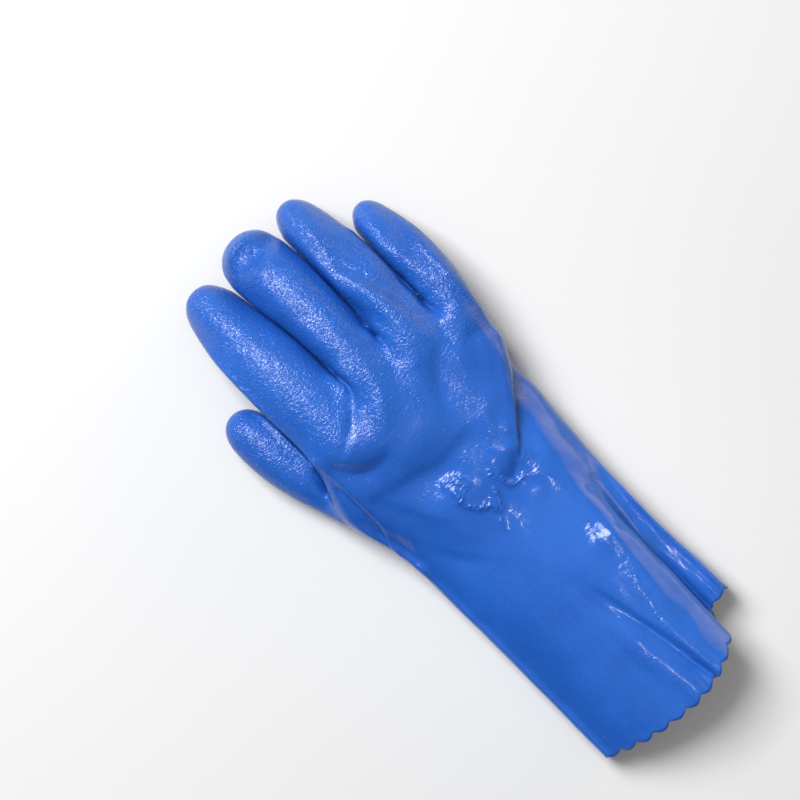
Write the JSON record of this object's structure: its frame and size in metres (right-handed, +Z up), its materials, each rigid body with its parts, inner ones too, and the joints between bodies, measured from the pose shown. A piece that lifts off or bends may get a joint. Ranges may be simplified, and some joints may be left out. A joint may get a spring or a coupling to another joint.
{
  "type": "household rubber glove",
  "caption": "long-cuffed dipped PVC glove for the right hand, lying palm down with softly bent fingers, folded wrist and a pinked rim",
  "frame": {"origin": "middle of the footprint, on the surface that the glove lies on", "axes": "+X to the little-finger side, +Y to the fingertips, +Z up from the palm to the back of the hand"},
  "size_m": [0.1448, 0.3262, 0.0509],
  "materials": {
    "pvc": "plain blue dipped PVC, satin and finely wrinkled on the hand, smooth and glossy on the cuff"
  },
  "bodies": {
    "root": {"glove_shell": "pvc"}
  },
  "joints": []
}
